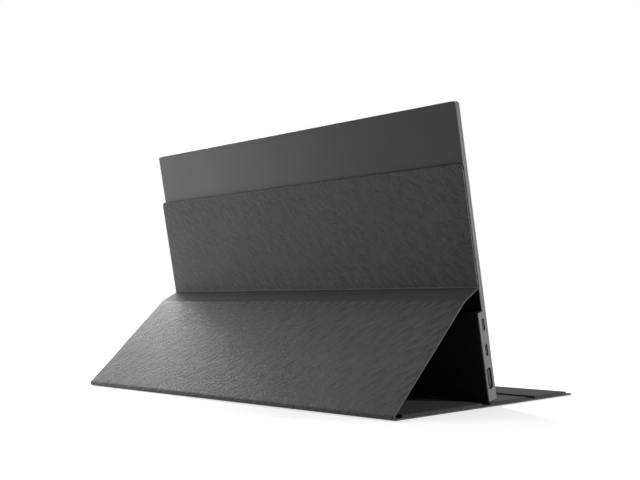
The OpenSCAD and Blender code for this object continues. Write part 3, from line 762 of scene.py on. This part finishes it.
LINING_TINTS = (grey(47), grey(51))
LINING_ROUGH = (0.78, 0.9)
NAP_DARK = grey(42)
NAP_SHARE = 0.5
NAP_MM = 0.08
PAD_SIDE = ((0.6, 0.8), (2.8, 3.1))  # heights between which a pad shows its side
BARE_TINTS = (grey(56), grey(74))


def make_lining():
    """A short nap; the pads' sides are the bare edges of their boards, paler and dotted."""
    s = Shader("lining")
    here = s.here(flat=True)
    nap = s.noise(here, scale=3.0, detail=4.0, rough=0.7)
    cloud = s.noise(here, scale=0.08, detail=2.0)
    dots = s.noise(here, scale=1.1, detail=2.0)
    tint = s.between(s.spread(cloud, *NOISE_MIDDLE), *LINING_TINTS)
    bare = s.between(s.spread(dots, *NOISE_MIDDLE), *BARE_TINTS)
    tint = s.between(s.window(s.split(here)["Z"], *PAD_SIDE), tint, bare)
    tint = s.between(s.spread(nap, *NOISE_WIDE, 0.0, NAP_SHARE), tint, NAP_DARK)
    return s.finish(
        Base_Color=tint, Roughness=s.spread(nap, *NOISE_WIDE, *LINING_ROUGH),
        Normal=s.bump(nap, NAP_MM), Sheen_Weight=0.03, Sheen_Roughness=0.5,
        Specular_IOR_Level=0.05,
    )


HOUSING_TINTS = (grey(99), grey(102))
HOUSING_ROUGH = (0.34, 0.42)
HOUSING_MM = 0.015
HOUSING_SPECULAR = 0.12
PANEL_TOP = FOLD_HEIGHT + PANEL_H
COVERED_FROM = (FOLD_HEIGHT - 0.5, FOLD_HEIGHT)  # heights along the covered edge
COVERED_TO = (PANEL_TOP - 2.5, PANEL_TOP - 1.5)
SHADED_DEPTH = (SLAB_T - 1.0, SLAB_T - 0.7)
SHADED_DARK = grey(20)
# painted shade in the tent: faces turned back, and all but the side edges, below the fold
FACES_BACK = (0.5, 0.9)
INLAND = (MONITOR_HALF - 3.0, MONITOR_HALF - 2.0)
TENT_TOP = (FOLD_HEIGHT - 1.5, FOLD_HEIGHT - 0.5)


def make_housing(name, tent_shade_level):
    """Bead-blasted, painted metal: a very fine grain under a satin gloss, with painted shade in the
    tent.
    """
    s = Shader(name)
    here = s.here()
    grain = s.noise(here, scale=6.0, detail=3.0, rough=0.6)
    cloud = s.noise(here, scale=0.02, detail=2.0)
    tint = s.between(s.spread(cloud, *NOISE_MIDDLE), *HOUSING_TINTS)

    # the edge that the overhanging cover shades is a dark line
    from_foot = s.node("VectorMath", {0: here, 1: (0, *FOOT)}, operation="SUBTRACT").outputs[0]
    depth, height = s.dot(from_foot, BACK), s.dot(from_foot, UP)
    covered = s.window(height, COVERED_FROM, COVERED_TO)
    shaded = s.math("MULTIPLY", covered, s.spread(depth, *SHADED_DEPTH))
    tint = s.between(shaded, tint, SHADED_DARK)

    # painted shade inside the tent: below the fold, all but the side edges and their corners are
    # dark
    outwards = s.node("TexCoord", {}).outputs["Normal"]
    to_back = s.spread(s.dot(outwards, BACK), *FACES_BACK)
    from_middle = s.math("ABSOLUTE", s.split(here)["X"])
    inland = s.spread(from_middle, *INLAND, *FALLING)
    below_fold = s.spread(height, *TENT_TOP, *FALLING)
    tent_shade_mask = s.math("MULTIPLY", s.math("MAXIMUM", to_back, inland), below_fold)
    tint = s.between(tent_shade_mask, tint, grey(tent_shade_level))
    return s.finish(
        Base_Color=tint, Roughness=s.spread(grain, *NOISE_WIDE, *HOUSING_ROUGH),
        Normal=s.bump(grain, HOUSING_MM), Specular_IOR_Level=HOUSING_SPECULAR,
    )


ROUGH_SPREAD = 0.05


def make_plain(name, dark, light, scale, rough, bump_mm, metallic=0.0, warm=0.0, coat=0.0):
    """A moulded or rolled material: fine grain, slow colour change, and marks in its gloss."""
    s = Shader(name)
    here = s.here()
    grain = s.noise(here, scale, detail=4.0, rough=0.6)
    cloud = s.noise(here, scale=0.03, detail=2.0)
    mix = s.sum_of((grain, 0.5), (cloud, 0.5))
    tint = s.between(s.spread(mix, *NOISE_MIDDLE), grey(dark, warm), grey(light, warm))
    return s.finish(
        Base_Color=tint,
        Roughness=s.spread(grain, *NOISE_WIDE, rough - ROUGH_SPREAD, rough + ROUGH_SPREAD),
        Normal=s.bump(grain, bump_mm), Metallic=metallic, Coat_Weight=coat,
    )


BOARD_GREEN = (0.012, 0.07, 0.035, 1)
TRACK_GREEN = (0.05, 0.16, 0.08, 1)
CELL_SCALE = (0.35, 1, 0.35)
TRACK_EDGE = (0.04, 0.08)
TRACK_ROUGH = (0.35, 0.5)
TRACK_MM = 0.03


def make_circuit():
    """Green board with paler tracks between long cells."""
    s = Shader("circuit")
    cells = s.node("TexVoronoi", {
        "Vector": s.here(scale=CELL_SCALE), "Scale": 1.0, "Randomness": 0.6,
    }, feature="DISTANCE_TO_EDGE").outputs["Distance"]
    track = s.spread(cells, *TRACK_EDGE, *FALLING)
    return s.finish(
        Base_Color=s.between(track, BOARD_GREEN, TRACK_GREEN),
        Roughness=s.spread(track, 0.0, 1.0, *TRACK_ROUGH), Normal=s.bump(track, TRACK_MM),
    )


PLAIN_LOOKS = {
    # darkest level, lightest level, grain per mm, roughness, bump in mm, and the rest by name
    "socket_shell": (150, 168, 2.5, 0.22, 0.006, {"metallic": 1.0}),
    "socket_insert": (126, 138, 2.0, 0.5, 0.01, {}),
    "socket_tongue": (186, 198, 2.0, 0.5, 0.01, {}),
    "black_plastic": (26, 32, 4.0, 0.42, 0.02, {}),
    "tape": (22, 28, 3.0, 0.7, 0.02, {}),
    "screen_glass": (10, 13, 0.6, 0.12, 0.001, {"coat": 0.4}),
    "film": (200, 212, 1.0, 0.3, 0.004, {}),
    "light_guide": (205, 216, 1.5, 0.2, 0.004, {}),
    "lamps": (214, 232, 1.5, 0.4, 0.01, {"warm": 0.08}),
    "steel": (150, 170, 2.5, 0.3, 0.008, {"metallic": 1.0}),
    "magnet": (168, 182, 1.2, 0.32, 0.01, {"metallic": 1.0}),
    "chips": (24, 32, 2.5, 0.5, 0.02, {}),
    "flat_cable": (150, 172, 1.2, 0.4, 0.01, {"warm": 0.2}),
    "glue": (120, 136, 0.8, 0.6, 0.03, {"warm": 0.05}),
    "board": (112, 132, 1.5, 0.85, 0.05, {"warm": 0.08}),
    "dark_board": (50, 60, 1.5, 0.85, 0.05, {}),
}
MATERIALS = {
    "cover_skin": make_cover_skin(),
    "lining": make_lining(),
    # the housing and the bump's back get painted shade in the tent, at two levels
    "housing": make_housing("housing", tent_shade_level=16),
    "bump_back": make_housing("bump_back", tent_shade_level=48),
    "circuit": make_circuit(),
}
for name, (*numbers, others) in PLAIN_LOOKS.items():
    MATERIALS[name] = make_plain(name, *numbers, **others)


def look_of(node_name, slot):
    """The sockets and the back panel's board differ from the rest of their slot."""
    if node_name.endswith(("_c_upper_shell", "_c_lower_shell", "hdmi_shell")):
        return "socket_shell"
    if node_name == "hdmi_insert":
        return "socket_tongue"
    if node_name.endswith("_insert"):
        return "socket_insert"
    if node_name == "back_panel_board":
        return "dark_board"
    return slot


for subpart in frame["record"]["subparts"]:
    node = frame["nodes"][subpart["node"]]
    node.data.materials.clear()
    node.data.materials.append(MATERIALS[look_of(node.name, subpart["material_slot"])])
for name, look in looks.items():
    bpy.data.objects[name].data.materials.append(MATERIALS[look])

# ---------- floor, backdrop and light ----------

WHITE = (1, 1, 1, 1)
FLOOR_HALF = 12000
FLOOR_Z = -0.4
FLOOR_TINTS = ((0.59, 0.59, 0.59, 1), (0.61, 0.61, 0.61, 1))
GLOW_RADII = (150, 500)
GLOW_NEAR = 0.62


def make_floor():
    """A pale floor that shows white away from the object and keeps the object's shadow."""
    signs = ((-1, -1), (1, -1), (1, 1), (-1, 1))
    verts = [(x * FLOOR_HALF, y * FLOOR_HALF, FLOOR_Z) for x, y in signs]
    floor = new_object("floor", verts, [(0, 1, 2, 3)])
    s = Shader("floor")
    here = s.here()
    radius = s.node("VectorMath", {0: here}, operation="LENGTH").outputs["Value"]
    glow = s.spread(radius, *GLOW_RADII, GLOW_NEAR, 1.0)
    floor.data.materials.append(s.finish(
        Base_Color=s.between(s.noise(here, scale=0.02, detail=2.0), *FLOOR_TINTS), Roughness=0.9,
        Emission_Color=WHITE, Emission_Strength=s.math("MULTIPLY", s.seen(), glow),
    ))


def make_world():
    """White to the camera, and no light on the object."""
    world = bpy.data.worlds.new("studio")
    bpy.context.scene.world = world
    world.use_nodes = True
    s = Nodes(world.node_tree)
    s.tree.nodes.clear()
    dark = s.node("Background", {"Color": WHITE, "Strength": 0.0})
    white = s.node("Background", {"Color": WHITE, "Strength": 1.0})
    mix = s.node("MixShader", {"Fac": s.seen(), 1: dark.outputs[0], 2: white.outputs[0]})
    s.node("OutputWorld", {"Surface": mix.outputs[0]})


LAMPS_AIM = Vector((0.02, 0.02, 0.08))
LAMPS = {
    # name: bearing, height, distance, width, watts
    "key_low": (-4, 22, 0.8, 0.22, 1.1),
    "key_middle": (-20, 30, 0.8, 0.22, 3.9),
    "key_high": (-28, 40, 0.8, 0.22, 6.3),
    "left_high": (0, 70, 0.7, 0.25, 1.3),
    "right_near": (176, 24, 0.41, 0.12, 0.075),
    "back_high": (20, 50, 0.6, 0.25, 0.33),
    "back_low": (35, 4, 0.8, 0.25, 1.3),
    "rim_right": (207, 3, 1.5, 0.15, 17.7),
}


def make_lamp(name, bearing, height, distance, width, watts):
    """A square lamp: bearing from +X towards +Y and height above level, in degrees."""
    bearing, height = math.radians(bearing), math.radians(height)
    data = bpy.data.lights.new(name, "AREA")
    data.size = width
    data.energy = watts
    lamp = add_object(name, data)
    away = Vector((
        math.cos(bearing) * math.cos(height),
        math.sin(bearing) * math.cos(height),
        math.sin(height),
    ))
    lamp.location = LAMPS_AIM + away * distance
    lamp.rotation_euler = (-away).to_track_quat("-Z", "Y").to_euler()


make_floor()
make_world()
for name, numbers in LAMPS.items():
    make_lamp(name, *numbers)
